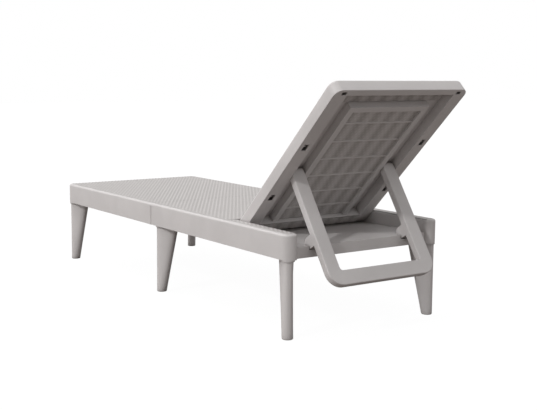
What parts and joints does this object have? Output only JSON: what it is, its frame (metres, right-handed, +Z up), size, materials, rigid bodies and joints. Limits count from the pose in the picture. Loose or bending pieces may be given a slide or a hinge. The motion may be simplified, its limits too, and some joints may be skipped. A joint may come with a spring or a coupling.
{
  "type": "sun lounger",
  "caption": "Moulded plastic sun lounger: flat woven-effect deck on tapered legs, hinged backrest held up by a swinging U-shaped prop that hooks on the rear cross beam",
  "frame": {"origin": "on the floor, midway across the width and under the middle of the overall length with the backrest raised", "axes": "+X towards the left rail as seen from the head end's rear quarter in the picture, +Y from the foot end to the head end, +Z up"},
  "size_m": [0.603, 1.7074, 0.7519],
  "materials": {
    "grey_polypropylene": "fine matt moulded grain, warm light grey",
    "plated_steel": "zinc plated"
  },
  "bodies": {
    "base": {"foot_rail": "grey_polypropylene", "front_deck": "grey_polypropylene", "joiner_screws": "plated_steel", "left_front_leg": "grey_polypropylene", "left_front_rail": "grey_polypropylene", "left_hinge_pin": "plated_steel", "left_joiner": "grey_polypropylene", "left_middle_leg": "grey_polypropylene", "left_rear_leg": "grey_polypropylene", "left_rear_rail": "grey_polypropylene", "middle_beam": "grey_polypropylene", "rear_beam": "grey_polypropylene", "rear_deck": "grey_polypropylene", "right_front_leg": "grey_polypropylene", "right_front_rail": "grey_polypropylene", "right_hinge_pin": "plated_steel", "right_joiner": "grey_polypropylene", "right_middle_leg": "grey_polypropylene", "right_rear_leg": "grey_polypropylene", "right_rear_rail": "grey_polypropylene", "tray": "grey_polypropylene"},
    "backrest": {"backrest_frame": "grey_polypropylene", "backrest_panel": "grey_polypropylene", "left_prop_pin": "plated_steel", "right_prop_pin": "plated_steel"},
    "prop": {"prop": "grey_polypropylene"}
  },
  "joints": [
    {"name": "backrest_recline", "type": "hinge", "parent": "base", "child": "backrest", "pos_m": [0, 0.38233, 0.292], "axis": [1, 0, 0], "range_deg": [-44.4, 0]},
    {"name": "prop_swing", "type": "hinge", "parent": "backrest", "child": "prop", "pos_m": [0, 0.57307, 0.4774], "axis": [1, 0, 0], "range_deg": [0, 95]}
  ],
  "couplings": [
    {"joint": "prop_swing", "follows": "backrest_recline", "ratio": -2.1396}
  ]
}
